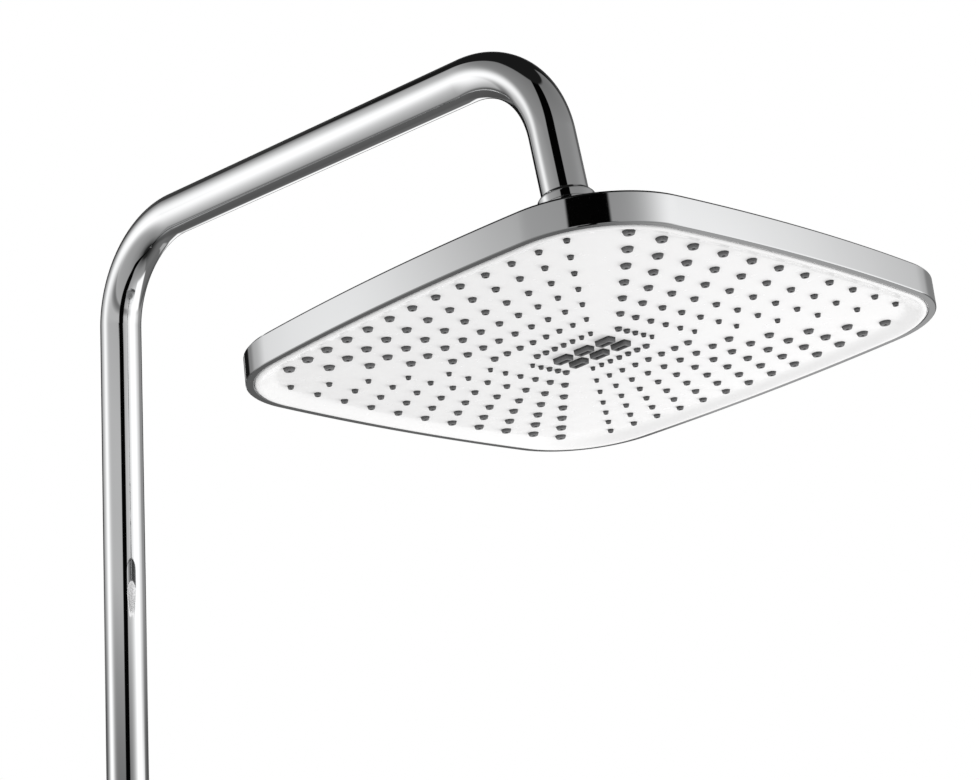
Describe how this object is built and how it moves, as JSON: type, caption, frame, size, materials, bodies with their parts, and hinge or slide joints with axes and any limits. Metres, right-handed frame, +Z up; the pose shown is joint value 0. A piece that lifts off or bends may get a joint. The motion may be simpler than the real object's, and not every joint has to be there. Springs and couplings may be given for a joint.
{
  "type": "overhead shower",
  "caption": "Overhead rain shower: a square head with nozzles hangs on a ball joint from a bent riser pipe that swivels on a threaded union at its foot.",
  "frame": {"origin": "on the riser's axis, at the seat above the inlet thread", "axes": "+Z up along the riser, -Y along the arm towards the head, +X to the right when looking along +Y"},
  "size_m": [0.2524, 0.4854, 0.3876],
  "materials": {
    "chrome": "bright chrome plating on brass",
    "brass": "turned brass, unplated",
    "plated_plastic": "bright chrome plating on ABS plastic",
    "white_plastic": "white, smooth satin gloss",
    "inner_plastic": "plain moulded ABS plastic",
    "silicone": "grey soft silicone, matt",
    "black_rubber": "black rubber",
    "bearing_plastic": "off-white acetal plastic",
    "steel": "plain stainless steel"
  },
  "bodies": {
    "inlet_union": {"inlet_body": "chrome", "union_nut": "chrome", "swivel_slip_washer": "bearing_plastic", "swivel_thrust_ring": "bearing_plastic", "swivel_stop_screw": "steel"},
    "gooseneck": {"riser_spigot": "chrome", "spigot_o_rings": "black_rubber", "gooseneck_pipe": "chrome", "drop_nipple": "brass", "ball_connector": "chrome", "filter_washer": "black_rubber", "filter_screen": "steel", "flow_regulator": "bearing_plastic"},
    "pitch_liner": {"upper_ball_liner": "bearing_plastic"},
    "roll_liner": {"lower_ball_liner": "bearing_plastic"},
    "head": {"ball_retaining_nut": "chrome", "socket_hub": "chrome", "ball_seal": "black_rubber", "hub_o_ring": "black_rubber", "hub_lock_nut": "brass", "rim_frame": "plated_plastic", "top_cover": "plated_plastic", "chamber_gasket": "black_rubber", "clamp_plate": "inner_plastic", "chamber_screws": "steel", "jet_insert": "silicone", "face_plate": "white_plastic", "nozzle_mat": "silicone"}
  },
  "joints": [
    {"name": "riser_swivel", "type": "hinge", "parent": "inlet_union", "child": "gooseneck", "pos_m": [0, 0, 0], "axis": [0, 0, 1], "range_deg": [-90, 90]},
    {"name": "head_pitch", "type": "hinge", "parent": "gooseneck", "child": "pitch_liner", "pos_m": [0, -0.3386, 0.2548], "axis": [1, 0, 0], "range_deg": [-21, 9]},
    {"name": "head_roll", "type": "hinge", "parent": "pitch_liner", "child": "roll_liner", "pos_m": [0, -0.3386, 0.2548], "axis": [0, 0.9962, -0.0872], "range_deg": [-15, 15]},
    {"name": "head_spin", "type": "hinge", "parent": "roll_liner", "child": "head", "pos_m": [0, -0.3386, 0.2548], "axis": [0, 0.0872, 0.9962], "continuous": true}
  ]
}
